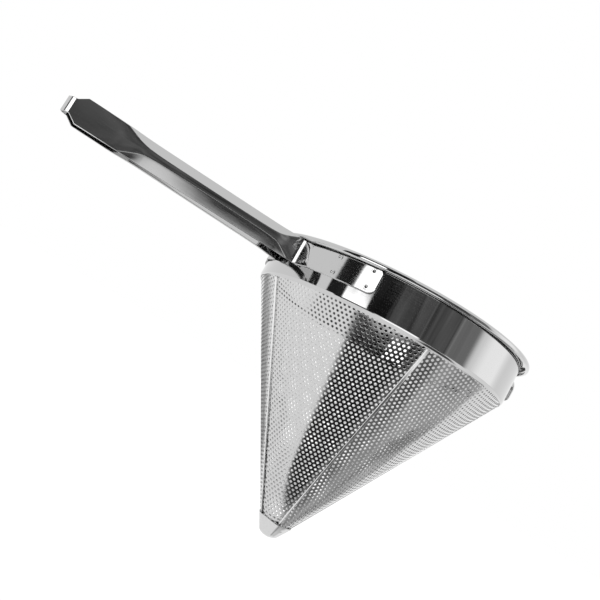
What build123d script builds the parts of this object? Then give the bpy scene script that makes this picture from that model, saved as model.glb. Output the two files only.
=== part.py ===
from build123d import *

import os
from math import asin, atan, cos, degrees, radians, sin, tan

# A chinois, or China cap: a perforated steel cone that hangs from a spun collar and is held by a
# handle folded from one strip. Millimetres, +Z up, with the cone's point down. The origin is the
# centre of the collar, level with the lower lip of the rolled rim, which is what sits on the ring
# of a stand. The handle runs along -X and the pot hook stands out along +X.

# Collar: a spun sheet with a straight wall, a rolled rim above and a skirt turned in below.
# Each of its bends is turned in two equal steps, which start this far from the corner. The skirt
# is no longer than its bend.
RIM_RADIUS = 127.0
RIM_OVERHANG = 6.5
COLLAR_SHEET = 0.8
RIM_HEIGHT = 5.0
RIM_TOP_BEND = 1.5
RIM_LIP_BEND = 1.1
RIM_LIP_LENGTH = 1.7
COLLAR_DEPTH = 33.0
SKIRT_BEND = 1.9

# Cone: five perforated gores that meet at ribs, with the first rib under the handle. Each is
# rolled in narrow flats. Its openings stand for the sheet's fine holes, 2.4 mm across and 4 mm
# apart, in the same staggered rows and with the same share of open area.
GORES = 5
GORE_FLATS = 8
CONE_DEPTH = 211.5
CONE_SHEET = 0.8
GORE_LAP = 2.6
GORE_TIP_RADIUS = 9.0
LAP_GAP = 0.1
HOLE_PITCH = 21.5
HOLE_WIDTH = 12.6
HOLE_SIDES = 6
HOLE_MARGIN = 2.5

# Seam ribs: tapered bars welded over the joints between gores.
RIB_TOP_WIDTH = 3.0
RIB_TIP_WIDTH = 1.5
RIB_HEIGHT = 1.4
RIB_CORNER = 0.5
RIB_SEAT_GAP = 0.05
RIB_TIP_RADIUS = 13.2

# Tip cap: a pressed five-sided cap with a blunt nose that closes the cone's point.
CAP_SHEET = 0.8
CAP_TOP_RADIUS = 14.7
CAP_NOSE_RADIUS = 5.4
CAP_NOSE_ROUND = 2.2
CAP_GAP = 0.15
CAP_RIDGE_GAP = 0.75

# The cap's nose rounds off in steps: each is a share of its height and a slope away from upright.
CAP_NOSE_SHARES = ((0.64, 50.0), (0.36, 70.0))

# Handle: one strip folded like a hairpin, whose ends wrap the collar as welded wings.
STRIP_WIDTH = 22.0
STRIP_THICKNESS = 1.5
STRIP_TOP = 1.2
STRIP_SEAT_GAP = 0.05
WING_REACH = 45.7
WING_CORNER = 6.0
FOLD_BEND = 2.6
LEG_SPACING_AT_COLLAR = 34.8
LEG_SPACING_AT_END = 14.8
HANDLE_LENGTH = 213.75
HANDLE_DROP = 1.5
END_HEIGHT = 12.3
END_BEND = 5.35
END_CHAMFER_LENGTH = 7.0
PADDLE_LENGTH = 34.0
PADDLE_TAPER = 19.0
ROOT_FLAT_LENGTH = 6.0
ROOT_TAPER = 16.0
WEB_WIDTH = 3.6
FACET_ANGLE = 20.0
LEG_OVERLAP = 1.0

# Spot welds that hold the wings and the hook's foot to the collar show as shallow dimples.
WELD_DIAMETER = 3.2
WELD_DEPTH = 0.3
WELD_SIDES = 8
WELD_ROWS = 13.5
WING_WELD_ANGLES = (14.0, 28.0, 42.3)

# Pot hook: a strip that leaves the collar under the rim, rises over a crest and turns down.
HOOK_WIDTH = 34.0
HOOK_THICKNESS = 1.5
HOOK_OVERHANG = 41.2
HOOK_FOOT_TOP = 5.0
HOOK_FOOT_HEIGHT = 14.0
HOOK_ROOT_BEND = 3.0
HOOK_RISE = 22.0
HOOK_CREST_BEND = 10.5
HOOK_LIP_DROP = 14.0
HOOK_LIP_LEAN = 1.2
HOOK_LIP_CORNER = 6.0
HOOK_WELD_SPACING = 20.0

# Clearance left round the handle where the rim's lip is pressed back over it.
LIP_NOTCH_GAP = 0.4
CUT_OVERRUN = 1.0

# The cone's outer face is a straight line from the collar's corner to a sharp point, and every
# piece on the cone takes its radius from it.
wall_radius = RIM_RADIUS - RIM_OVERHANG
apex_z = -COLLAR_DEPTH - CONE_DEPTH
corner_radius = wall_radius - COLLAR_SHEET - LAP_GAP
half_angle = atan(corner_radius / CONE_DEPTH)


def cone_z(radius):
    """Height at which the cone's outer face has this radius."""
    return apex_z + radius / tan(half_angle)


def on_cone(radius, lift=0):
    """Point of the cone's outer face in the XZ plane, moved out square to the face by lift."""
    return (radius + lift * cos(half_angle), cone_z(radius) - lift * sin(half_angle))


def radial(lift):
    """Growth in radius, at one height, of a face that stands off the cone by lift."""
    return lift / cos(half_angle)


def bent(points, bends):
    """Points of a sheet's section with each inner corner turned in two equal steps."""
    turned = [Vector(*points[0])]
    for before, corner, after, bend in zip(points, points[1:], points[2:], bends):
        for end in (before, after):
            turned.append(Vector(*corner) + (Vector(*end) - Vector(*corner)).normalized() * bend)
    return turned + [Vector(*points[-1])]


# Collar. Its section is one sheet, from the tucked lip over the rim, down the wall and along the cone.
sheet_mid = COLLAR_SHEET / 2
lip_x = RIM_RADIUS - sheet_mid
wall_x = wall_radius - sheet_mid
skirt_lift = LAP_GAP + sheet_mid
skirt_corner_z = cone_z(wall_x - radial(skirt_lift))
skirt_start = (wall_x, skirt_corner_z + SKIRT_BEND)
skirt_end = (
    wall_x - SKIRT_BEND * sin(half_angle),
    skirt_corner_z - SKIRT_BEND * cos(half_angle),
)
rim_corners = (
    (lip_x - RIM_LIP_LENGTH, sheet_mid),
    (lip_x, sheet_mid),
    (lip_x, RIM_HEIGHT - sheet_mid),
    (wall_x, RIM_HEIGHT - sheet_mid),
)

with BuildPart() as collar:
    with BuildSketch(Plane.XZ):
        with BuildLine():
            section = Polyline(
                bent(rim_corners, (RIM_LIP_BEND, RIM_TOP_BEND)) + [skirt_start, skirt_end]
            )
        trace(section, line_width=COLLAR_SHEET)
    revolve(axis=Axis.Z)
    notch_top = STRIP_TOP + LIP_NOTCH_GAP
    notch_start = wall_radius + COLLAR_SHEET
    with Locations((-notch_start, 0, notch_top)):
        Box(
            RIM_RADIUS - notch_start + CUT_OVERRUN,
            LEG_SPACING_AT_COLLAR + 2 * LIP_NOTCH_GAP,
            notch_top + CUT_OVERRUN,
            align=(Align.MAX, Align.CENTER, Align.MAX),
            mode=Mode.SUBTRACT,
        )

# Gores. Each is a fifth of the cone. A flat is a strip of sheet whose top edge lies along the
# inside of the skirt and stops short of the collar's straight wall. Its sides are cut on planes
# through the cone's axis, so that flats laid side by side meet on the cone.
gore_angle = 360 / GORES
gore_mid = CONE_SHEET / 2
gore_inset = skirt_lift + gore_mid
gore_wall_x = wall_x - gore_inset
gore_bend = SKIRT_BEND - gore_inset * (tan(half_angle / 2) - tan(half_angle / 4))
gore_turn_x = gore_wall_x - gore_bend * sin(half_angle)
gore_turn = (gore_turn_x, cone_z(gore_turn_x + radial(gore_mid)))
gore_top = (
    gore_turn[0] + GORE_LAP * sin(half_angle / 2),
    gore_turn[1] + GORE_LAP * cos(half_angle / 2),
)
flat_turn = gore_angle / GORE_FLATS
flat_share = cos(radians(flat_turn / 2))
skirt_radius = corner_radius - (SKIRT_BEND + LAP_GAP) * sin(half_angle)

with BuildPart() as flat:
    with BuildSketch(Plane.XZ):
        with BuildLine():
            Polyline(
                (gore_top[0] * flat_share, gore_top[1]),
                (gore_turn[0] * flat_share, gore_turn[1]),
                (GORE_TIP_RADIUS * flat_share, cone_z(GORE_TIP_RADIUS + radial(gore_mid))),
            )
        trace(line_width=CONE_SHEET)
    extrude(amount=corner_radius * tan(radians(flat_turn)), both=True)
    for side in (-1, 1):
        flank = Vector(0, side).rotate(Axis.Z, side * flat_turn / 2)
        split(bisect_by=Plane(origin=(0, 0, 0), z_dir=flank), keep=Keep.BOTTOM)


def lying_on_cone(radius, angle):
    """Plane that lies on the cone's outer face at this radius and turn, with X round the cone."""
    x, z = on_cone(radius)
    return Plane(
        origin=Vector(x, 0, z).rotate(Axis.Z, angle),
        x_dir=Vector(0, 1, 0).rotate(Axis.Z, angle),
        z_dir=Vector(cos(half_angle), 0, -sin(half_angle)).rotate(Axis.Z, angle),
    )


# Openings lie in staggered rows round the cone, from the skirt down to the cap.
hole_reach = HOLE_WIDTH / 2 + HOLE_MARGIN
row_slant = skirt_radius / sin(half_angle) - hole_reach
row = 0
hole_planes = []
while row_slant > CAP_TOP_RADIUS / sin(half_angle) + hole_reach:
    row_radius = row_slant * sin(half_angle)
    row_reach = radians(gore_angle / 2) * row_radius - hole_reach
    most = int(row_reach // HOLE_PITCH) + 1
    for number in range(-most, most):
        across = (number + row % 2 / 2) * HOLE_PITCH
        if abs(across) <= row_reach:
            hole_planes.append(lying_on_cone(row_radius, degrees(across / row_radius)))
    row_slant -= HOLE_PITCH * cos(radians(30))
    row += 1

with BuildPart() as gore_form:
    first_turn = (flat_turn - gore_angle) / 2
    with PolarLocations(0, GORE_FLATS, start_angle=first_turn, angular_range=gore_angle):
        add(flat.part)
    with BuildSketch(*hole_planes):
        RegularPolygon(HOLE_WIDTH / 2, HOLE_SIDES, major_radius=False, rotation=30)
    extrude(amount=CONE_SHEET + CUT_OVERRUN, both=True, mode=Mode.SUBTRACT)

gores = []
for index in range(GORES):
    with BuildPart() as gore:
        add(gore_form.part, rotation=(0, 0, 180 + gore_angle * (index + 1 / 2)))
    gores.append(gore)

# Seam ribs. Each starts at the skirt's edge and runs down the joint of two gores into the cap.
down_slope = (-sin(half_angle), 0, -cos(half_angle))
ribs = []
for index in range(GORES):
    with BuildPart() as rib:
        for radius, width in ((skirt_radius, RIB_TOP_WIDTH), (RIB_TIP_RADIUS, RIB_TIP_WIDTH)):
            x, z = on_cone(radius, RIB_SEAT_GAP)
            with BuildSketch(Plane(origin=(x, 0, z), x_dir=(0, 1, 0), z_dir=down_slope)) as bar:
                Rectangle(width, RIB_HEIGHT, align=(Align.CENTER, Align.MIN))
                fillet(bar.vertices().sort_by(Axis.X)[-2:], RIB_CORNER)
        loft(ruled=True)
    rib.part = rib.part.rotate(Axis.Z, 180 + gore_angle * index)
    ribs.append(rib)

# Tip cap. Five creased faces stand just off the cone and meet in ridges that clear the ribs. Each
# flat leans in like the cone, and below it the nose's flats lean in further.
cap_top_z = cone_z(CAP_TOP_RADIUS)
cap_nose_z = cone_z(CAP_NOSE_RADIUS)
ridge_lift = RIB_SEAT_GAP + RIB_HEIGHT + CAP_RIDGE_GAP


def cap_form(top_z, sheet):
    """The form of the cap's inside, or with its sheet's thickness that of its outside."""
    top_radius = (top_z - apex_z) * tan(half_angle)
    ridge = Vector(top_radius + radial(ridge_lift + sheet), 0)
    crease = Vector(top_radius + radial(CAP_GAP + sheet), 0).rotate(Axis.Z, gore_angle / 2)
    facing = (crease - ridge).rotate(Axis.Z, -90).normalized()
    lean = degrees(atan(tan(half_angle) * facing.dot(crease.normalized())))
    nose_z = cap_nose_z + CAP_SHEET - sheet
    steps = [(top_z - nose_z - CAP_NOSE_ROUND, lean)]
    steps += [(share * CAP_NOSE_ROUND, slope) for share, slope in CAP_NOSE_SHARES]
    reach = facing.dot(ridge)
    level = top_z
    with BuildPart() as form:
        with Locations((0, 0, nose_z)):
            Cylinder(ridge.length, top_z - nose_z, align=(Align.CENTER, Align.CENTER, Align.MIN))
        for drop, slope in steps:
            for number in range(GORES):
                for side in (facing, Vector(facing.X, -facing.Y)):
                    flat = side.rotate(Axis.Z, 180 + gore_angle * number)
                    start = flat * reach + Vector(0, 0, level)
                    normal = flat * cos(radians(slope)) - Vector(0, 0, sin(radians(slope)))
                    split(bisect_by=Plane(origin=start, z_dir=normal), keep=Keep.BOTTOM)
            reach -= drop * tan(radians(slope))
            level -= drop
    return form.part


cap_outside = cap_form(cap_top_z, CAP_SHEET)
cap_inside = cap_form(cap_top_z + CUT_OVERRUN, 0)
with BuildPart() as tip_cap:
    add(cap_outside)
    add(cap_inside, mode=Mode.SUBTRACT)

# Handle. Half of the strip is made on the -Y side and mirrored: a wing that wraps the collar, a
# fold, a leg and half of the narrow end wall.
strip_mid = STRIP_THICKNESS / 2
wing_radius = wall_radius + STRIP_SEAT_GAP + strip_mid
wing_end_angle = 180 + WING_REACH
root_y = -(LEG_SPACING_AT_COLLAR / 2 - strip_mid)
root_x = -(wing_radius**2 - root_y**2) ** 0.5
end_y = -(LEG_SPACING_AT_END / 2 - strip_mid)
end_x = -(RIM_RADIUS + HANDLE_LENGTH - strip_mid)
root = Vector(root_x, root_y)
leg_end = Vector(end_x, end_y)
leg_length = (leg_end - root).length
along_leg = (leg_end - root).normalized()
outward = Vector(-along_leg.Y, along_leg.X)
drop_share = tan(radians(HANDLE_DROP))
strip_middle_z = STRIP_TOP - STRIP_WIDTH / 2
facet_width = (STRIP_WIDTH - WEB_WIDTH) / 2
facet_depth = facet_width * sin(radians(FACET_ANGLE))
channel_half = WEB_WIDTH / 2 + facet_width * cos(radians(FACET_ANGLE))
flat_half = STRIP_WIDTH / 2
end_half = END_HEIGHT / 2
leg_start = FOLD_BEND + LEG_OVERLAP
leg_stop = leg_length - END_BEND
paddle_end = leg_stop - END_CHAMFER_LENGTH
paddle_start = paddle_end - PADDLE_LENGTH
channel_end = paddle_start - PADDLE_TAPER
channel_start = ROOT_FLAT_LENGTH + ROOT_TAPER

# Half of a leg's outline from the side: distance from the fold and half the strip's height there.
leg_outline = (
    (leg_start, flat_half),
    (ROOT_FLAT_LENGTH, flat_half),
    (channel_start, channel_half),
    (channel_end, channel_half),
    (paddle_start, flat_half),
    (paddle_end, flat_half),
    (leg_stop, end_half),
)


def crease_plane(start, end):
    """Plane of a folded edge where its crease slants in from the strip's edge down to the web."""
    corner = Vector(start, 0, flat_half)
    crease = Vector(end, 0, WEB_WIDTH / 2) - corner
    edge = Vector(end, -facet_depth, channel_half) - corner
    facing = crease.cross(edge) * (1 if start > end else -1)
    return Plane(origin=corner, z_dir=facing)


# The space above a leg's upper folded edge, with X along the leg and Y out of its face.
with BuildPart() as fold_space:
    with Locations((leg_start, 0, 0)):
        Box(
            leg_length,
            2 * STRIP_WIDTH,
            STRIP_WIDTH,
            align=(Align.MIN, Align.CENTER, Align.MIN),
        )
    facet = Plane(
        origin=(0, 0, WEB_WIDTH / 2),
        z_dir=(0, cos(radians(FACET_ANGLE)), sin(radians(FACET_ANGLE))),
    )
    rooting = crease_plane(ROOT_FLAT_LENGTH, channel_start)
    flattening = crease_plane(paddle_start, channel_end)
    for side in (facet, rooting, flattening):
        split(bisect_by=side, keep=Keep.TOP)


def folded_leg(depth, overrun):
    """Solid whose outer face is a leg's folded face, sunk by depth, with X along the leg."""
    folds = fold_space.part.moved(Location((0, -depth, 0)))
    lower = [(distance, -half) for distance, half in reversed(leg_outline)]
    with BuildPart() as form:
        with BuildSketch(Plane.XZ.offset(depth)):
            with BuildLine():
                Polyline(*leg_outline, *lower, close=True)
            make_face()
            if overrun:
                offset(amount=overrun, kind=Kind.INTERSECTION)
        extrude(amount=facet_depth + STRIP_THICKNESS)
        add(folds, mode=Mode.SUBTRACT)
        add(folds.mirror(Plane.XY), mode=Mode.SUBTRACT)
    return form.part


def weld_dimples(face_radius, angle):
    """Cut two dimples, one over the other, into a strip that wraps the collar at this angle."""
    floor = Vector(face_radius - WELD_DEPTH, 0, strip_middle_z).rotate(Axis.Z, angle)
    facing = Vector(1, 0, 0).rotate(Axis.Z, angle)
    with BuildSketch(Plane(origin=floor, x_dir=(0, 0, 1), z_dir=facing)) as dimples:
        with GridLocations(WELD_ROWS, 0, 2, 1):
            RegularPolygon(WELD_DIAMETER / 2, WELD_SIDES)
    extrude(dimples.sketch, amount=WELD_DEPTH + CUT_OVERRUN, mode=Mode.SUBTRACT)


leg_outside = folded_leg(0, 0)
leg_inside = folded_leg(STRIP_THICKNESS, CUT_OVERRUN)
with BuildPart() as leg:
    add(leg_outside)
    add(leg_inside, mode=Mode.SUBTRACT)

with BuildPart() as handle:
    with BuildSketch(Plane.XY.offset(strip_middle_z)):
        with BuildLine() as wing_path:
            wing_turn = degrees(asin(-root_y / wing_radius)) - WING_REACH
            wing_line = CenterArc((0, 0), wing_radius, 180 + WING_REACH, wing_turn)
            Line(wing_line @ 1, root + along_leg * (leg_start + LEG_OVERLAP))
            fillet(wing_path.vertices().sort_by_distance(wing_line @ 1)[0], FOLD_BEND)
        trace(wing_path.line, line_width=STRIP_THICKNESS)
    extrude(amount=flat_half, both=True)
    wing_end = handle.faces().sort_by(Axis.Y)[0]
    fillet(wing_end.edges().sort_by(SortBy.LENGTH)[:2], WING_CORNER)
    for angle in WING_WELD_ANGLES:
        weld_dimples(wing_radius + strip_mid, 180 + angle)

    leg_origin = root + outward * strip_mid + Vector(0, 0, strip_middle_z)
    leg_place = Plane(
        origin=leg_origin,
        x_dir=along_leg - Vector(0, 0, drop_share),
        z_dir=Vector(0, 0, 1) + along_leg * drop_share,
    )
    with Locations(leg_place):
        add(leg.part)

    with BuildSketch(Plane.XY.offset(strip_middle_z - leg_length * drop_share)):
        with BuildLine() as end_path:
            Line(root + along_leg * (leg_stop - LEG_OVERLAP), leg_end)
            Line(leg_end, (end_x, 0))
            fillet(end_path.vertices().sort_by_distance(leg_end)[0], END_BEND)
        trace(end_path.line, line_width=STRIP_THICKNESS)
    extrude(amount=end_half, both=True)
    mirror(about=Plane.XZ)

# Pot hook. A curved foot is welded to the wall under the rim, and the arm rises from it to a crest.
hook_mid = HOOK_THICKNESS / 2
foot_radius = wall_radius + STRIP_SEAT_GAP + hook_mid
hook_lip_x = RIM_RADIUS + HOOK_OVERHANG - hook_mid
arm_rise = (hook_lip_x - foot_radius) * tan(radians(HOOK_RISE))
foot_span = degrees(HOOK_WIDTH / foot_radius)
hook_weld_turn = degrees(HOOK_WELD_SPACING / 2 / foot_radius)

with BuildPart() as pot_hook:
    with BuildSketch(Plane.XZ):
        with BuildLine() as arm_path:
            FilletPolyline(
                (foot_radius, -HOOK_FOOT_TOP - HOOK_ROOT_BEND - HOOK_THICKNESS),
                (foot_radius, -HOOK_FOOT_TOP),
                (hook_lip_x, arm_rise - HOOK_FOOT_TOP),
                (hook_lip_x - HOOK_LIP_LEAN, -HOOK_LIP_DROP),
                radius=[HOOK_ROOT_BEND, HOOK_CREST_BEND - hook_mid],
            )
        trace(arm_path.line, line_width=HOOK_THICKNESS)
    extrude(amount=HOOK_WIDTH / 2, both=True)
    lip_end = pot_hook.faces().sort_by(Axis.Z)[0]
    fillet(lip_end.edges().sort_by(SortBy.LENGTH)[:2], HOOK_LIP_CORNER)
    with BuildSketch(Plane.XY.offset(-HOOK_FOOT_TOP - HOOK_ROOT_BEND)):
        with BuildLine() as foot_path:
            CenterArc((0, 0), foot_radius, -foot_span / 2, foot_span)
        trace(foot_path.line, line_width=HOOK_THICKNESS)
    extrude(amount=-HOOK_FOOT_HEIGHT)
    for side in (-1, 1):
        weld_dimples(foot_radius + hook_mid, side * hook_weld_turn)

# Every piece gets its node's name and its own file.
pieces = {"collar": collar, "tip_cap": tip_cap, "handle": handle, "pot_hook": pot_hook}
for number, (gore, rib) in enumerate(zip(gores, ribs), start=1):
    pieces[f"gore_{number}"] = gore
    pieces[f"seam_rib_{number}"] = rib

os.makedirs("parts", exist_ok=True)
for name, piece in pieces.items():
    piece.part.label = name
    export_step(piece.part, f"parts/{name}.step")
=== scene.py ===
from math import asin, atan, atan2, cos, degrees, exp, hypot, pi, radians, sin, tan

import bpy
from mathutils import Matrix, Vector


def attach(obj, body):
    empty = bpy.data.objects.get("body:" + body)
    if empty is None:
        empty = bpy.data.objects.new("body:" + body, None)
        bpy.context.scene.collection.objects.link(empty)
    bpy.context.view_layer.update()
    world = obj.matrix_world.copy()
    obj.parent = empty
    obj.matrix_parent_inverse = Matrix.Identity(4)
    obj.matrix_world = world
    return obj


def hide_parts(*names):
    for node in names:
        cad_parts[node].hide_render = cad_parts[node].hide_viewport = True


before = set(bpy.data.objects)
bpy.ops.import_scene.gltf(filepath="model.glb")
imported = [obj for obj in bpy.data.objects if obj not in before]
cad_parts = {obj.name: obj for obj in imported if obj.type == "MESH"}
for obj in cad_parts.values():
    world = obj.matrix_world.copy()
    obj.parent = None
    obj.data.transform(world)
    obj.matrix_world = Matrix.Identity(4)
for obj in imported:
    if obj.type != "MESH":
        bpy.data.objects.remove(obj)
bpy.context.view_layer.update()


# Collar: a ring spun from 0.8 mm stainless sheet and polished to a mirror. Its upper edge is rolled
# out and down into a hollow rim, and its lower edge is turned in along the cone.
mm = 0.001
merge_gap = 0.01
smooth_angle = radians(30)
collar_sheet = 0.8
collar_sides = 288
wall_radius = 120.1
rim_radius = 126.595
rim_top = 4.6
rim_starts = 1.3
lip_radius = 124.9
lip_height = 0.4
skirt_corner_height = -33.13
skirt_edge = (119.165, -34.79)
collar_outline = ((lip_radius, lip_height), (rim_radius, lip_height), (rim_radius, rim_top),
                  (wall_radius, rim_top), (wall_radius, skirt_corner_height), skirt_edge)
corner_bends = ((0.8, 3), (2.3, 6), (1.2, 4), (1.88, 5))
flat_half_width = 18.0
flat_blend = 14.0
flattened_lip_height = 1.95


def bare():
    """Leaves edit mode and deselects every object, so that operators act on the next piece only."""
    if bpy.context.object and bpy.context.object.mode == "EDIT":
        bpy.ops.object.mode_set(mode="OBJECT")
    bpy.ops.object.select_all(action="DESELECT")


def edit(kind="VERT"):
    """Opens the active piece in edit mode, with all of it selected."""
    bpy.ops.object.mode_set(mode="EDIT")
    bpy.ops.mesh.select_mode(type=kind)
    bpy.ops.mesh.select_all(action="SELECT")


def choose_edges(piece, wanted):
    """Selects in edit mode the edges of which both ends, in mm, are wanted."""
    edit("EDGE")
    bpy.ops.mesh.select_all(action="DESELECT")
    bpy.ops.object.mode_set(mode="OBJECT")
    for edge in piece.data.edges:
        edge.select = all(wanted(*(piece.data.vertices[end].co / mm)) for end in edge.vertices)
    bpy.ops.object.mode_set(mode="EDIT")


def apply_modifier(piece, kind, **settings):
    """Adds a modifier with these settings and applies it."""
    modifier = piece.modifiers.new(kind.lower(), kind)
    for key, value in settings.items():
        setattr(modifier, key, value)
    bpy.ops.object.modifier_apply(modifier=modifier.name)


def give_sheet(piece, thickness, edge_ease):
    """Turns faces outward, gives them a sheet's thickness, eases its cut edges and smooths it."""
    edit()
    bpy.ops.mesh.remove_doubles(threshold=merge_gap * mm)
    bpy.ops.mesh.normals_make_consistent(inside=False)
    bpy.ops.object.mode_set(mode="OBJECT")
    apply_modifier(piece, "SOLIDIFY", thickness=thickness * mm, offset=0, use_even_offset=True)
    apply_modifier(piece, "BEVEL", width=edge_ease * mm, segments=2, limit_method="ANGLE",
                   angle_limit=radians(50))
    bpy.ops.object.shade_smooth_by_angle(angle=smooth_angle)


def eased_step(value):
    """Rises smoothly from 0 to 1 while the value does."""
    share = min(max(value, 0), 1)
    return share * share * (3 - 2 * share)


bare()
bpy.ops.mesh.primitive_circle_add(vertices=collar_sides, radius=lip_radius * mm)
collar = bpy.context.object
collar.name = "spun_collar"
edit("EDGE")
bpy.ops.transform.translate(value=(0, 0, lip_height * mm))
for (radius, height), (next_radius, next_height) in zip(collar_outline, collar_outline[1:]):
    bpy.ops.mesh.extrude_region_move(
        TRANSFORM_OT_translate={"value": (0, 0, (next_height - height) * mm)})
    bpy.ops.transform.resize(value=(next_radius / radius, next_radius / radius, 1))
bpy.ops.object.mode_set(mode="OBJECT")
for (radius, height), (bend, steps) in zip(collar_outline[1:], corner_bends):
    choose_edges(collar, lambda x, y, z: hypot(hypot(x, y) - radius, z - height) < 5 * merge_gap)
    bpy.ops.mesh.bevel(offset=bend * mm, segments=steps, affect="EDGES", clamp_overlap=False)
    bpy.ops.object.mode_set(mode="OBJECT")

# Over the handle the rim is pressed flat, so that its lip clears the top of the strip.
for vertex in collar.data.vertices:
    across = abs(vertex.co.y / mm)
    if vertex.co.x < 0 and vertex.co.xy.length > (wall_radius + rim_starts) * mm:
        press = 1 - eased_step((across - flat_half_width) / flat_blend)
        squeeze = 1 - press * (flattened_lip_height - lip_height) / (rim_top - lip_height)
        vertex.co.z = (rim_top - (rim_top - vertex.co.z / mm) * squeeze) * mm
give_sheet(collar, collar_sheet, edge_ease=0.12)


def linear(hex_colour):
    """An sRGB hex colour as the linear colour that a node's socket takes."""
    parts = [int(hex_colour[i:i + 2], 16) / 255 for i in (1, 3, 5)]
    return [p / 12.92 if p <= 0.04045 else ((p + 0.055) / 1.055) ** 2.4 for p in parts] + [1]


def add_node(owner, kind, settings, links=()):
    """Adds a node with its settings, and links each (output socket, own input) to it."""
    node = owner.node_tree.nodes.new(kind)
    for key, value in settings.items():
        if isinstance(key, str) and hasattr(node, key):
            setattr(node, key, value)
        else:
            node.inputs[key].default_value = value
    for source, own_input in links:
        owner.node_tree.links.new(source, node.inputs[own_input])
    return node


def wear(piece, name):
    """Gives a piece a new material of this name, and returns it empty."""
    material = bpy.data.materials.new(name)
    material.use_nodes = True
    material.node_tree.nodes.clear()
    piece.data.materials.clear()
    piece.data.materials.append(material)
    return material


def polished_steel(steel, hex_colour, gloss, grain_mm, grain_depth_mm, ripple_mm, ripple_depth_mm):
    """Polished stainless: a mirror whose haze follows the polishing lines, over a faint ripple.

    Real lines are about 0.1 mm apart, too fine to show here, so they are drawn 1 to 3 mm apart.
    """
    place = add_node(steel, "ShaderNodeTexCoord", {})
    lay = add_node(steel, "ShaderNodeMapping", {"Scale": [1000 / size for size in grain_mm]},
                   [(place.outputs["Object"], "Vector")])
    grain = add_node(steel, "ShaderNodeTexNoise", {"Scale": 1.0, "Detail": 4.0, "Roughness": 0.7},
                     [(lay.outputs["Vector"], "Vector")])
    ripple = add_node(steel, "ShaderNodeTexNoise", {"Scale": 1000 / ripple_mm, "Detail": 1.0},
                      [(place.outputs["Object"], "Vector")])
    haze = add_node(steel, "ShaderNodeMapRange",
                    {"From Min": 0.35, "From Max": 0.75, "To Min": gloss[0], "To Max": gloss[1]},
                    [(grain.outputs["Fac"], "Value")])
    rippled = add_node(steel, "ShaderNodeBump", {"Strength": 1.0, "Distance": ripple_depth_mm * mm},
                       [(ripple.outputs["Fac"], "Height")])
    lined = add_node(steel, "ShaderNodeBump", {"Strength": 1.0, "Distance": grain_depth_mm * mm},
                     [(grain.outputs["Fac"], "Height"), (rippled.outputs["Normal"], "Normal")])
    shader = add_node(steel, "ShaderNodeBsdfPrincipled",
                      {"Base Color": linear(hex_colour), "Metallic": 1.0},
                      [(haze.outputs["Result"], "Roughness"), (lined.outputs["Normal"], "Normal")])
    add_node(steel, "ShaderNodeOutputMaterial", {}, [(shader.outputs["BSDF"], "Surface")])


# Mirror-polished stainless, buffed on the spinning lathe: clear reflections with faint rings.
polished_steel(wear(collar, "mirror_polished_collar"), "#C2C2C2", gloss=(0.03, 0.09),
               grain_mm=(60, 60, 1.1), grain_depth_mm=0.0006, ripple_mm=30, ripple_depth_mm=0.02)
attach(collar, "root")
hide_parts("collar")


# Gores: five fifths of the cone, cut from 0.8 mm stainless sheet that is punched with 2.4 mm holes
# 4 mm apart in staggered rows, then rolled and welded edge to edge. One is made here, and the
# other four are its copies.
hole_pitch = 3.97
hole_diameter = 2.4
hole_sides = 12
gore_sheet = 0.8
cone_outer_radius = 119.6
cone_depth = 211.5
cone_point = -244.5
cone_half_angle = atan(cone_outer_radius / cone_depth)
gore_tip_radius = 8.65
gore_turn_radius = 118.324
gore_top_height = -31.93
sheet_length = 246.0
sheet_start = 0.9
gores = 5


def ride_around_cone(piece, name, node):
    """Names the piece for the first place on the cone, and turns a copy to each of the others."""
    for number in range(1, gores + 1):
        if number > 1:
            bare()
            piece.select_set(True)
            bpy.context.view_layer.objects.active = piece
            bpy.ops.object.duplicate()
            piece = bpy.context.object
            piece.rotation_euler.z = 2 * pi / gores
            bpy.ops.object.transform_apply(location=False, rotation=True, scale=False)
        piece.name = f"{name}_{number}"
        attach(piece, "root")
        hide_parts(f"{node}_{number}")


# One hole in its hexagonal cell is repeated over a flat sheet, which is cut to a sector.
bare()
bpy.ops.mesh.primitive_circle_add(vertices=hole_sides, radius=hole_diameter / 2 * mm)
gore = bpy.context.object
edit()
bpy.ops.mesh.extrude_region_move()
cell_growth = hole_pitch / hole_diameter
bpy.ops.transform.resize(value=(cell_growth, cell_growth, 1))
bpy.ops.object.mode_set(mode="OBJECT")
cell_side = hole_pitch / 2 * mm
between_rings = (hole_diameter + hole_pitch) / 4 * mm
for vertex in gore.data.vertices:
    if vertex.co.length > between_rings:
        turn = round(degrees(pi + Vector((1, 0)).angle_signed(vertex.co.xy, 0)) * hole_sides / 360)
        vertex.co = vertex.co.normalized() * cell_side * (2 / 3 ** 0.5 if turn % 2 else 1)
row_step = hole_pitch * mm * 3 ** 0.5 / 2
slant_top = sheet_length * mm
slant_tip = gore_tip_radius / sin(cone_half_angle) * mm
first_row = slant_tip * sheet_start
sector = pi * sin(cone_half_angle) / gores
rows = int((slant_top - first_row) / row_step / 2) + 1
columns = int(2 * slant_top * sin(sector) / (hole_pitch * mm)) + 2
gore.data.transform(Matrix.Translation((-columns / 2 * hole_pitch * mm, first_row, 0)))
for count, offset in ((2, (hole_pitch / 2 * mm, row_step, 0)), (columns, (hole_pitch * mm, 0, 0)),
                      (rows, (0, 2 * row_step, 0))):
    apply_modifier(gore, "ARRAY", count=count, use_relative_offset=False, use_constant_offset=True,
                   constant_offset_displace=offset, use_merge_vertices=True,
                   merge_threshold=merge_gap * mm)
edit()
for side in (-1, 1):
    bpy.ops.mesh.select_all(action="SELECT")
    bpy.ops.mesh.bisect(plane_co=(0, 0, 0), plane_no=(side * cos(sector), -sin(sector), 0),
                        clear_outer=True)
bpy.ops.object.mode_set(mode="OBJECT")

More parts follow.
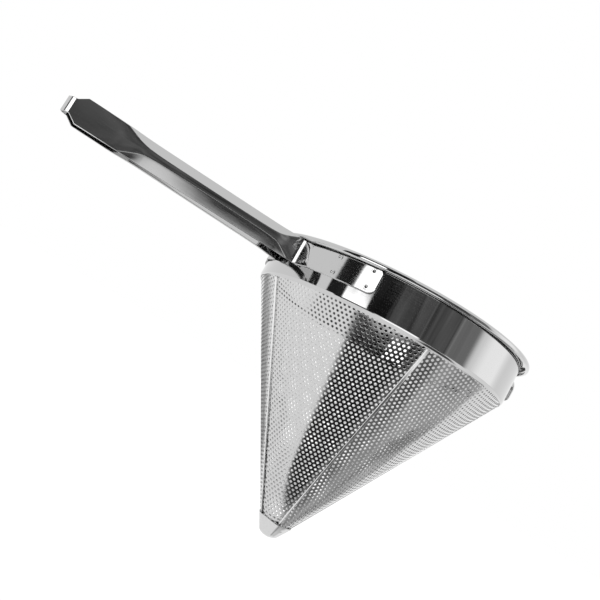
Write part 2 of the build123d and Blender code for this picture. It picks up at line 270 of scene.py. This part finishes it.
# The sector is rolled onto the cone, with its top turned half as steep under the collar's skirt.
mid_point = cone_point + gore_sheet / 2 / sin(cone_half_angle)
turn_slant = gore_turn_radius / sin(cone_half_angle)
for vertex in gore.data.vertices:
    slant = vertex.co.xy.length / mm
    across = Vector((0, 1)).angle_signed(vertex.co.xy, 0) / sin(cone_half_angle)
    on_cone = min(slant, turn_slant)
    above = slant - on_cone
    radius = on_cone * sin(cone_half_angle) + above * sin(cone_half_angle / 2)
    height = mid_point + on_cone * cos(cone_half_angle) + above * cos(cone_half_angle / 2)
    azimuth = pi + pi / gores + across
    vertex.co = Vector((radius * cos(azimuth), radius * sin(azimuth), height)) * mm
gore_tip_height = mid_point + slant_tip / mm * cos(cone_half_angle)
edit()
for height, facing in ((gore_top_height, 1), (gore_tip_height, -1)):
    bpy.ops.mesh.select_all(action="SELECT")
    bpy.ops.mesh.bisect(plane_co=(0, 0, height * mm), plane_no=(0, 0, facing), clear_outer=True)
bpy.ops.mesh.select_all(action="SELECT")
bpy.ops.mesh.remove_doubles(threshold=merge_gap * mm)
bpy.ops.mesh.normals_make_consistent(inside=False)
bpy.ops.object.mode_set(mode="OBJECT")
apply_modifier(gore, "SOLIDIFY", thickness=gore_sheet * mm, offset=0)
bpy.ops.object.shade_smooth_by_angle(angle=smooth_angle)

# Punched and rolled stainless sheet, polished after rolling: a soft mirror that the punching has
# left slightly uneven from hole to hole, so its reflections break up into sparkle.
polished_steel(wear(gore, "perforated_stainless_sheet"), "#CACACA", gloss=(0.08, 0.2),
               grain_mm=(1.6, 1.6, 1.6), grain_depth_mm=0.004, ripple_mm=9, ripple_depth_mm=0.12)
ride_around_cone(gore, "perforated_gore", "gore")


# Seam ribs: five tapered stainless bars, 3 mm wide at the collar and half that at the tip, welded
# down the joints between the gores, with rounded upper corners.
rib_top_radius = 118.62
rib_tip_radius = 13.2
rib_top_width = 3.0
rib_tip_width = 1.5
rib_height = 1.4
rib_seat_gap = 0.05
rib_rounding = 0.55
rib_smooth_angle = radians(35)

rib_length = (rib_top_radius - rib_tip_radius) / sin(cone_half_angle)
bare()
bpy.ops.mesh.primitive_plane_add(size=mm)
rib = bpy.context.object
edit()
bpy.ops.transform.resize(value=(rib_height, rib_top_width, 1))
bpy.ops.transform.translate(value=(rib_height / 2 * mm, 0, 0))
bpy.ops.mesh.extrude_region_move(TRANSFORM_OT_translate={"value": (0, 0, -rib_length * mm)})
bpy.ops.transform.resize(value=(1, rib_tip_width / rib_top_width, 1))
choose_edges(rib, lambda x, y, z: x > rib_height - merge_gap)
bpy.ops.mesh.bevel(offset=rib_rounding * mm, segments=3, affect="EDGES")
bpy.ops.mesh.select_all(action="SELECT")
bpy.ops.mesh.normals_make_consistent(inside=False)
bpy.ops.object.mode_set(mode="OBJECT")
bpy.ops.object.shade_smooth_by_angle(angle=rib_smooth_angle)
seat_radius = rib_top_radius + rib_seat_gap * cos(cone_half_angle)
skin_height = cone_point + rib_top_radius / tan(cone_half_angle)
seat_height = skin_height - rib_seat_gap * sin(cone_half_angle)
rib.rotation_euler = (0, cone_half_angle, 0)
rib.location = Vector((seat_radius, 0, seat_height)) * mm
bpy.ops.object.transform_apply(location=True, rotation=True, scale=False)
rib.rotation_euler.z = pi
bpy.ops.object.transform_apply(location=False, rotation=True, scale=False)

# Drawn stainless bar, linished along its length after welding: bright, with a drawn-out glint.
polished_steel(wear(rib, "linished_stainless_bar"), "#E4E4E4", gloss=(0.1, 0.2),
               grain_mm=(1.2, 1.2, 14), grain_depth_mm=0.004, ripple_mm=6, ripple_depth_mm=0.02)
ride_around_cone(rib, "welded_seam_rib", "seam_rib")


# Tip cap: a five-sided cap pressed from 0.8 mm stainless sheet, with soft ridges over the ends of
# the ribs and a rounded nose. It closes the cone's point and is spot welded to each gore.
cap_sheet = 0.8
cap_top = -218.5
cap_nose = -234.94
cap_ridge_radius = 18.147
cap_crease_radius = 15.79
cap_shrink_length = 27.92
cap_nose_height = 4.2
cap_nose_fullness = 2.4
cap_round_excess = 0.3
cap_ridge_fade = 0.3
cap_ridge_ease = 8
cap_sides = 120
cap_ring_step = 0.7
cap_weld_radius = 12.2
cap_weld_turn = 35.0
cap_weld_depth = 0.22
cap_weld_spread = 1.1
weld_reach = 4.0


def cap_outline_radius(turn):
    """Outside radius of the cap's top at this turn, in degrees from a ridge, with eased ridges."""
    half_side = 180 / gores
    start = Vector((cap_ridge_radius, 0))
    end = Vector((cos(pi / gores), sin(pi / gores))) * cap_crease_radius
    along = end - start
    shifts = range(-cap_ridge_ease, cap_ridge_ease + 1, 2)
    total = 0
    for shift in shifts:
        away = radians(abs((turn + shift + half_side) % (2 * half_side) - half_side))
        total += start.x * along.y / (cos(away) * along.y - sin(away) * along.x)
    return total / len(shifts)


bare()
bpy.ops.mesh.primitive_circle_add(vertices=cap_sides, radius=cap_ridge_radius * mm)
tip_cap = bpy.context.object
tip_cap.name = "pressed_tip_cap"
edit("EDGE")
bpy.ops.transform.translate(value=(0, 0, cap_top * mm))
cap_rings = int((cap_top - cap_nose) / cap_ring_step)
for _ in range(cap_rings):
    bpy.ops.mesh.extrude_region_move(
        TRANSFORM_OT_translate={"value": (0, 0, (cap_nose - cap_top) / cap_rings * mm)})
bpy.ops.mesh.merge(type="CENTER")
bpy.ops.object.mode_set(mode="OBJECT")
for vertex in tip_cap.data.vertices:
    height = vertex.co.z / mm
    turn = degrees(atan2(vertex.co.y, vertex.co.x))
    full_size = 1 - (cap_top - height) / cap_shrink_length
    rise = min((height - cap_nose) / cap_nose_height, 1)
    size = full_size * (1 - (1 - rise) ** cap_nose_fullness) ** 0.5
    ridged = cap_outline_radius(turn - 180) * size
    round_radius = (cap_crease_radius + cap_round_excess) * size
    outside = ridged * rise ** cap_ridge_fade + round_radius * (1 - rise ** cap_ridge_fade)
    radius = max(outside - cap_sheet / 2 / cos(cone_half_angle) * rise, 0)
    around = Vector((cos(radians(turn)), sin(radians(turn)), 0))
    vertex.co = (around * radius + Vector((0, 0, height + cap_sheet / 2 * (1 - rise)))) * mm
    for number in range(gores):
        weld = radians(180 + cap_weld_turn + 360 / gores * number)
        weld_place = Vector((cos(weld), sin(weld), 0)) * cap_weld_radius
        weld_place.z = cone_point + cap_weld_radius / tan(cone_half_angle)
        away = (vertex.co / mm - weld_place).length
        if away < weld_reach:
            vertex.co -= around * (cap_weld_depth * exp(-(away / cap_weld_spread) ** 2) * mm)
give_sheet(tip_cap, cap_sheet, edge_ease=0.15)

# Pressed stainless sheet, tumbled bright: softer reflections than the collar's, with tool marks.
polished_steel(wear(tip_cap, "pressed_stainless_cap"), "#D0D0D0", gloss=(0.06, 0.14),
               grain_mm=(3, 3, 3), grain_depth_mm=0.004, ripple_mm=7, ripple_depth_mm=0.05)
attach(tip_cap, "root")
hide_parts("tip_cap")


# Handle: one 22 mm strip of 1.5 mm stainless, folded like a hairpin. Its legs are creased into
# shallow channels for stiffness, and its two ends wrap the collar as wings and are spot welded to
# it. One side is made, along the strip from the wing's tip to the hairpin's end, and mirrored.
strip_width = 22.0
strip_sheet = 1.5
strip_middle = -9.8
strip_columns = 44

# The wing, along the collar's wall, with its reach in degrees from the handle's middle.
wing_mid_radius = 121.3
wing_reach = 45.7
wing_corner = 6.0
wing_rows = 190
spring_length = 58.0
spring_lift = 1.85

# Its spot welds: their places, the dimple, and the ring of metal pushed up round it.
weld_turns = (14.0, 28.0, 42.3)
weld_rows = (-6.75, 6.75)
weld_depth = 0.3
weld_spread = 0.9
weld_ring_height = 0.08
weld_ring_radius = 1.6
weld_ring_width = 0.4

# Its ridge beside the fold, in degrees round the wall, leaning by degrees for each mm of height.
ridge_starts = 8.2
ridge_turn = 6.3
ridge_falls = 7.0
ridge_lean = 0.25
ridge_slope = 0.026
ridge_softness = 0.2

# The fold from wing to leg: what it takes off each, its two bends and the flat between them.
fold_cut = 2.29
leg_cut = 2.22
fold_bends = (0.654, 0.731)
fold_first_turn = radians(37.5)
fold_flat = 2.2

# The leg, seen from above, and how far it drops away from the collar.
leg_root = Vector((-120.15, -16.65))
leg_end = Vector((-340.0, -6.65))
leg_drop = tan(radians(1.5))

# Its channel: where it starts, is at its narrowest, widens again and ends, and the shape across.
channel_starts, channel_narrow, channel_widens, channel_ends = 6.0, 22.0, 154.73, 173.73
opening_ease = 0.4
full_opening = 1.4
web_half = 2.1
web_middle = 1.2
facet_lean = radians(20)
facet_width = 15.0

# The softness of its creases: in the middle, and what each end adds over how long a stretch.
crease_softness = 0.7
root_softness = 3.0
paddle_softness = 2.2
softening = 12.0
softening_lead = 3.0
flat_before_chamfer = 12.0
flattening_length = 10.0

# The hairpin's end: a chamfer, and corners of (bend's length, its degrees, flat's length, rows).
chamfer_starts, chamfer_ends = 207.73, 214.73
end_half_width = 6.15
end_bend = 5.35
end_corners = ((0.86, 33, 2.86, 3), (0.92, 35, 3.95, 4))
end_last_bend = 0.5


def bend_line(start, heading, runs):
    """Points, outward sides and distances along a strip bent in runs of (length, turn, steps)."""
    place, along, places = start.copy(), 0.0, []
    for length, turn, steps in runs:
        for _ in range(steps):
            places.append((along, place.copy(), Vector((-sin(heading), cos(heading)))))
            chord = heading + turn / steps / 2
            place += Vector((cos(chord), sin(chord))) * length / steps
            heading += turn / steps
            along += length / steps
    places.append((along, place.copy(), Vector((-sin(heading), cos(heading)))))
    return places


def weld_dent(across, up, welds):
    """Depth of a spot weld's dimple, with its raised ring, at this place on a strip."""
    depth = 0
    for weld_across, weld_up in welds:
        away = hypot(across - weld_across, up - weld_up)
        if away < weld_reach:
            depth += weld_depth * exp(-(away / weld_spread) ** 2)
            depth -= weld_ring_height * exp(-((away - weld_ring_radius) / weld_ring_width) ** 2)
    return depth


def lift_to_chord(turn):
    """Height above the round wall, at this turn in it, of a sheet that runs straight off it."""
    return (turn ** 2 / 2 + ridge_slope * turn) * wing_mid_radius


leg_direction = (leg_end - leg_root).normalized()
root_turn = asin(-leg_root.y / wing_mid_radius)
wing_heading = radians(wing_reach) + pi / 2
root_heading = root_turn + pi / 2
leg_heading = pi - asin(leg_direction.y)
fold_turn = leg_heading - root_heading - fold_cut / wing_mid_radius
end_turn = leg_heading - pi / 2
end_cut = end_bend * tan(end_turn / 2)
leg_length = (leg_end - leg_root).length
wing_length = wing_mid_radius * radians(wing_reach) - wing_mid_radius * root_turn - fold_cut
wing_start = Vector((-cos(radians(wing_reach)), -sin(radians(wing_reach)))) * wing_mid_radius
wing_welds = [(radians(wing_reach - turn) * wing_mid_radius, row)
              for turn in weld_turns for row in weld_rows]

# The fold has two sharp bends. Down the leg, rows are closest where the channel starts and ends.
fold_runs = [(fold_bends[0], fold_first_turn, 6), (fold_flat, 0, 4),
             (fold_bends[1], fold_turn - fold_first_turn, 6)]
strip_runs = [(wing_length, -wing_length / wing_mid_radius, wing_rows)] + fold_runs
reached = leg_cut
for row_end, steps in ((channel_narrow + 2, 30), (channel_widens - 3, 30), (channel_ends + 3, 36),
                       (chamfer_starts, 8), (leg_length - end_cut, 12)):
    strip_runs.append((row_end - reached, 0, steps))
    reached = row_end
for bend, turn, flat, flat_steps in end_corners:
    strip_runs += [(bend, -radians(turn), 4), (flat, 0, flat_steps)]
    end_turn -= radians(turn)
strip_runs.append((end_last_bend, -end_turn, 3))
strip_line = bend_line(wing_start, wing_heading, strip_runs)
strip_rows = len(strip_line) - 1

bare()
bpy.ops.mesh.primitive_grid_add(x_subdivisions=strip_rows, y_subdivisions=strip_columns, size=1)
handle = bpy.context.object
handle.name = "folded_strip_handle"
to_leg = wing_length + sum(length for length, turn, steps in fold_runs) - leg_cut
for vertex in handle.data.vertices:
    along, place, outward = strip_line[round((vertex.co.x + 0.5) * strip_rows)]
    leg = along - to_leg

    # The strip's edge: rounded corners on the wing's tip, and a chamfer before the hairpin's end.
    corner = max(wing_corner - along, 0)
    half = strip_width / 2 - wing_corner + (wing_corner ** 2 - corner ** 2) ** 0.5
    chamfer = min(max((leg - chamfer_starts) / (chamfer_ends - chamfer_starts), 0), 1)
    half -= chamfer * (strip_width / 2 - end_half_width)
    up = 2 * vertex.co.y * half

    # The channel: two facets lean in from the creases beside its web. The creases open to the
    # strip's edges at both ends of the leg, and are softer there.
    side = 1 if up > web_middle else -1
    web_edge = web_half + side * web_middle
    crease_rise = strip_width / 2 - web_edge
    rooting = (channel_narrow - leg) / (channel_narrow - channel_starts)
    flattening = (leg - channel_widens) / (channel_ends - channel_widens)
    opening = max(rooting, flattening)
    opened = min((opening + hypot(opening, opening_ease)) / 2, full_opening)
    past = side * up - web_edge - crease_rise * opened
    at_root = eased_step((channel_narrow + softening_lead - leg) / softening)
    at_paddle = eased_step((leg - channel_widens + softening_lead) / softening)
    softness = crease_softness + root_softness * at_root + paddle_softness * at_paddle
    softness *= eased_step((chamfer_starts - flat_before_chamfer - leg) / flattening_length)
    folded = (past + hypot(past, softness)) / 2 - softness ** 2 / (4 * facet_width)
    depth = sin(facet_lean) * folded
    height = up - side * (1 - cos(facet_lean)) * folded

    # The wing: its tip springs off the wall. Beside the fold its sheet runs straight off the wall
    # to a shallow ridge, which leans with the strip, and comes back to it.
    depth -= spring_lift * max(1 - along / spring_length, 0) ** 2
    if leg < 0:
        depth += weld_dent(along, up, wing_welds)
        turn = radians(wing_reach - ridge_starts) - along / wing_mid_radius
        ridge = radians(ridge_turn - ridge_lean * up)
        near = lift_to_chord(turn)
        far = lift_to_chord(ridge) * max(1 - (turn - ridge) / radians(ridge_falls), 0) ** 2
        depth -= max((near + far - hypot(near - far, ridge_softness)) / 2, 0)
    spot = place - outward * depth

    # The last row lies on the mirror's plane, where the two sides join.
    if along == strip_line[-1][0]:
        spot.y = 0
    drop = min(max(leg, 0), leg_length) * leg_drop
    vertex.co = Vector((spot.x, spot.y, strip_middle + height - drop)) * mm
apply_modifier(handle, "MIRROR", use_axis=(False, True, False), use_mirror_merge=True,
               merge_threshold=2 * merge_gap * mm)
give_sheet(handle, strip_sheet, edge_ease=0.22)

# Cold-rolled stainless strip, buffed along its length: clear reflections with fine lines along the
# strip, and the faint waviness of sheet that has been folded.
polished_steel(wear(handle, "buffed_stainless_strip"), "#C0C0C0", gloss=(0.05, 0.13),
               grain_mm=(26, 1.3, 1.3), grain_depth_mm=0.0012, ripple_mm=16, ripple_depth_mm=0.03)
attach(handle, "root")
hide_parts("handle")


# Pot hook: a 34 mm strip of the same stainless, spot welded under the rim opposite the handle. It
# rises over a round crest and turns down, to hang on the wall of a pot.
hook_width = 34.0
hook_foot_bottom = -22.0
hook_foot_top = -5.0
hook_rise = radians(22)
hook_lip_radius = 167.43
hook_lip_bottom = Vector((166.25, -14.0))
hook_root_bend = 3.0
hook_crest_bend = 9.75
hook_corner = 6.0
foot_corner = 2.0
foot_wrap_fade = 14.0
hook_welds = ((5.45, -10.0), (5.45, 10.0))
hook_columns = 60

rise_length = (hook_lip_radius - wing_mid_radius) / cos(hook_rise)
hook_crest = Vector((hook_lip_radius, hook_foot_top + rise_length * sin(hook_rise)))
lip_line = hook_lip_bottom - hook_crest
lip_heading = atan2(lip_line.y, lip_line.x)
root_cut = hook_root_bend * tan((pi / 2 - hook_rise) / 2)
crest_cut = hook_crest_bend * tan((hook_rise - lip_heading) / 2)
foot_length = hook_foot_top - hook_foot_bottom - root_cut
hook_start = Vector((wing_mid_radius, hook_foot_bottom))
hook_line = bend_line(hook_start, pi / 2, (
    (foot_length, 0, 30),
    (hook_root_bend * (pi / 2 - hook_rise), hook_rise - pi / 2, 8),
    (rise_length - root_cut - crest_cut, 0, 20),
    (hook_crest_bend * (hook_rise - lip_heading), lip_heading - hook_rise, 24),
    (lip_line.length - crest_cut, 0, 20)))
hook_rows = len(hook_line) - 1

bare()
bpy.ops.mesh.primitive_grid_add(x_subdivisions=hook_rows, y_subdivisions=hook_columns, size=1)
pot_hook = bpy.context.object
pot_hook.name = "bent_pot_hook"
for vertex in pot_hook.data.vertices:
    along, place, _ = hook_line[round((vertex.co.x + 0.5) * hook_rows)]
    at_lip = max(hook_corner - (hook_line[-1][0] - along), 0)
    at_foot = max(foot_corner - along, 0)
    half = hook_width / 2 - hook_corner + (hook_corner ** 2 - at_lip ** 2) ** 0.5
    half -= foot_corner - (foot_corner ** 2 - at_foot ** 2) ** 0.5
    across = 2 * vertex.co.y * half
    wrap = 1 - eased_step((along - foot_length) / foot_wrap_fade)
    inward = (wing_mid_radius - (wing_mid_radius ** 2 - across ** 2) ** 0.5) * wrap
    inward += weld_dent(along, across, hook_welds)
    vertex.co = Vector((place.x - inward, across, place.y)) * mm
give_sheet(pot_hook, strip_sheet, edge_ease=0.22)

# The same cold-rolled stainless as the handle's, buffed across the hook before it was bent: clear
# reflections with fine lines from side to side.
polished_steel(wear(pot_hook, "buffed_stainless_hook"), "#C0C0C0", gloss=(0.05, 0.13),
               grain_mm=(1.3, 26, 1.3), grain_depth_mm=0.0012, ripple_mm=16, ripple_depth_mm=0.03)
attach(pot_hook, "root")
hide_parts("pot_hook")


# Floor: white seamless paper below the object, which hangs above it as in the photograph. The
# little light that it adds for the camera and for reflections takes it to white, and the object's
# soft shadow stays.
floor_height = -360.0
floor_width = 40000.0
floor_lift = 0.25
bare()
bpy.ops.mesh.primitive_plane_add(size=floor_width * mm, location=(0, 0, floor_height * mm))
floor = bpy.context.object
floor.name = "studio_floor"
paper = wear(floor, "white_backdrop_paper")
rays = add_node(paper, "ShaderNodeLightPath", {})
seen = add_node(paper, "ShaderNodeMath", {"operation": "MAXIMUM"},
                [(rays.outputs["Is Camera Ray"], 0), (rays.outputs["Is Glossy Ray"], 1)])
seen_through = add_node(paper, "ShaderNodeMath", {"operation": "MAXIMUM"},
                        [(seen.outputs["Value"], 0), (rays.outputs["Is Transmission Ray"], 1)])
lift = add_node(paper, "ShaderNodeMath", {"operation": "MULTIPLY", 1: floor_lift},
                [(seen_through.outputs["Value"], 0)])
matte = add_node(paper, "ShaderNodeBsdfDiffuse", {"Color": linear("#EDEDED")})
glow = add_node(paper, "ShaderNodeEmission", {"Color": linear("#FFFFFF")},
                [(lift.outputs["Value"], "Strength")])
lit = add_node(paper, "ShaderNodeAddShader", {},
               [(matte.outputs["BSDF"], 0), (glow.outputs["Emission"], 1)])
add_node(paper, "ShaderNodeOutputMaterial", {}, [(lit.outputs["Shader"], "Surface")])


# Studio: an even white room, with cards that only the steel's reflections show, as in a product
# studio for polished metal: black velvet and grey card for dark bands, soft strips for bright ones.
world = bpy.data.worlds.new("white_studio")
bpy.context.scene.world = world
world.use_nodes = True
world.node_tree.nodes.clear()
white = add_node(world, "ShaderNodeBackground", {"Color": linear("#FFFFFF"), "Strength": 1.0})
add_node(world, "ShaderNodeOutputWorld", {}, [(white.outputs["Background"], "Surface")])
bpy.context.scene.view_settings.view_transform = "Standard"
card_distance = 1.6
card_squares = 12
card_sway = 0.12
card_top_fade = 0.06


def stand_card(name, brightness, start, end, low, high, fade, unevenness):
    """A curved card round the object, between these azimuths in degrees and heights in m."""
    bare()
    bpy.ops.mesh.primitive_grid_add(x_subdivisions=card_squares, y_subdivisions=1, size=1)
    card = bpy.context.object
    card.name = name
    for vertex in card.data.vertices:
        azimuth = radians(start + (end - start) * (vertex.co.x + 0.5))
        vertex.co = (card_distance * cos(azimuth), card_distance * sin(azimuth),
                     low + (high - low) * (vertex.co.y + 0.5))
    light_card(card, brightness, fade, unevenness)


def lay_card(name, brightness, lift, corners, fade, unevenness):
    """A flat card this far above the floor, with these corners in mm, the near ones first."""
    bare()
    bpy.ops.mesh.primitive_grid_add(x_subdivisions=card_squares, y_subdivisions=card_squares,
                                    size=1)
    card = bpy.context.object
    card.name = name
    near_left, near_right, far_right, far_left = (Vector(corner) for corner in corners)
    for vertex in card.data.vertices:
        across, out = vertex.co.x + 0.5, vertex.co.y + 0.5
        spot = near_left.lerp(near_right, across).lerp(far_left.lerp(far_right, across), out)
        vertex.co = Vector((spot.x, spot.y, floor_height + lift)) * mm
    light_card(card, brightness, fade, unevenness)


def light_card(card, brightness, fade, unevenness):
    """Makes a card glow for reflections alone, blotchy by its unevenness, with edges that fade out.

    The fade is a share of its width and of its height. Its outline sways a little, as cloth does.
    """
    glow = wear(card, card.name)
    place = add_node(glow, "ShaderNodeTexCoord", {})
    wander = add_node(glow, "ShaderNodeTexNoise", {"Scale": 3.0, "Detail": 2.0},
                      [(place.outputs["Object"], "Vector")])
    swayed = add_node(glow, "ShaderNodeVectorMath",
                      {"operation": "MULTIPLY_ADD", 1: (card_sway, card_sway, 0)},
                      [(wander.outputs["Color"], 0), (place.outputs["UV"], 2)])
    sides = add_node(glow, "ShaderNodeSeparateXYZ", {}, [(swayed.outputs["Vector"], "Vector")])
    edge = card_sway / 2
    covered = []
    for side, width in zip("XY", fade):
        inward = add_node(glow, "ShaderNodeMath", {"operation": "PINGPONG", 1: 0.5 + edge},
                          [(sides.outputs[side], 0)])
        covered.append(add_node(glow, "ShaderNodeMapRange",
                                {"interpolation_type": "SMOOTHSTEP", "From Min": edge,
                                 "From Max": edge + width},
                                [(inward.outputs["Value"], "Value")]))
    cover = add_node(glow, "ShaderNodeMath", {"operation": "MULTIPLY"},
                     [(covered[0].outputs["Result"], 0), (covered[1].outputs["Result"], 1)])
    clear = add_node(glow, "ShaderNodeBsdfTransparent", {})
    blotches = add_node(glow, "ShaderNodeTexNoise",
                        {"Scale": 2.6, "Detail": 3.0, "Distortion": 1.5},
                        [(place.outputs["Object"], "Vector")])
    uneven = add_node(glow, "ShaderNodeMapRange",
                      {"From Min": 0.35, "From Max": 0.65, "To Min": brightness * (1 - unevenness),
                       "To Max": brightness * (1 + unevenness)},
                      [(blotches.outputs["Fac"], "Value")])
    face = add_node(glow, "ShaderNodeEmission", {"Color": linear("#FFFFFF")},
                    [(uneven.outputs["Result"], "Strength")])
    faded = add_node(glow, "ShaderNodeMixShader", {},
                     [(cover.outputs["Value"], "Fac"), (clear.outputs["BSDF"], 1),
                      (face.outputs["Emission"], 2)])
    add_node(glow, "ShaderNodeOutputMaterial", {}, [(faded.outputs["Shader"], "Surface")])
    card.visible_camera = card.visible_diffuse = card.visible_shadow = False


for name, brightness, start, end, low, high, fade, unevenness in (
        ("narrow_black_card", 0.02, -179, -163, 0, 0.95, 0.1, 0.3),
        ("strip_softbox", 2.4, -163.5, -142, 0.088, 0.55, 0.05, 0),
        ("low_black_card", 0.02, -172, -134, -0.2, 0.1, 0.08, 0.3),
        ("black_velvet", 0.01, -144, -123, 0, 0.95, 0.08, 0.3),
        ("high_black_card", 0.03, -176, -118, 0.52, 1.7, 0.06, 0.3),
        ("dark_grey_card", 0.1, -127, -95, 0, 0.95, 0.1, 0.6),
        ("low_grey_card", 0.1, -99, -72, -0.36, 0.95, 0.1, 0.6),
        ("grey_card", 0.24, -78, -50, -0.3, 0.95, 0.25, 0.25),
        ("side_window", 1.4, -52, -8, 0, 0.95, 0.36, 0),
        ("low_strip_light", 1.9, -130, -97, -0.34, -0.04, 0.1, 0)):
    stand_card(name, brightness, start, end, low, high, (fade, card_top_fade), unevenness)
for name, brightness, lift, corners, fade, unevenness in (
        ("dark_floor_card", 0.1, 2,
         ((-165, -560), (420, -560), (700, -1500), (-175, -1500)), (0.26, 0.1), 0.6),
        ("grey_floor_card", 0.46, 4,
         ((0, -60), (420, 160), (1100, -500), (-80, -520)), (0.06, 0.1), 0.4),
        ("dim_floor_card", 0.15, 6,
         ((-20, -70), (110, -110), (260, -470), (-120, -480)), (0.3, 0.05), 0.5),
        ("black_floor_card", 0.02, 8,
         ((-125, -40), (10, -90), (20, -480), (-390, -200)), (0.12, 0.05), 0.3),
        ("back_floor_card", 0.5, 10,
         ((-90, 310), (500, 600), (3500, 8000), (-900, 2600)), (0.08, 0.05), 0.2)):
    lay_card(name, brightness, lift, corners, fade, unevenness)


# Camera: below the collar and on the handle's side, tilted so that the handle points up and left.
camera_place = Vector((-365.0, -484.7, -111.4)) * mm
look = Vector((0.370869, 0.921301, 0.116875))
side = Vector((0.777145, -0.376785, 0.504063))
up = Vector((-0.50843, 0.096113, 0.855723))
camera_turn = Matrix((side, up, -look)).transposed().to_euler()
bpy.ops.object.camera_add(location=camera_place, rotation=camera_turn)
camera = bpy.context.object
camera.data.lens = 38.18
camera.data.sensor_width = 36.0
camera.data.shift_x = 0.13
camera.data.shift_y = -0.0652
bpy.context.scene.camera = camera
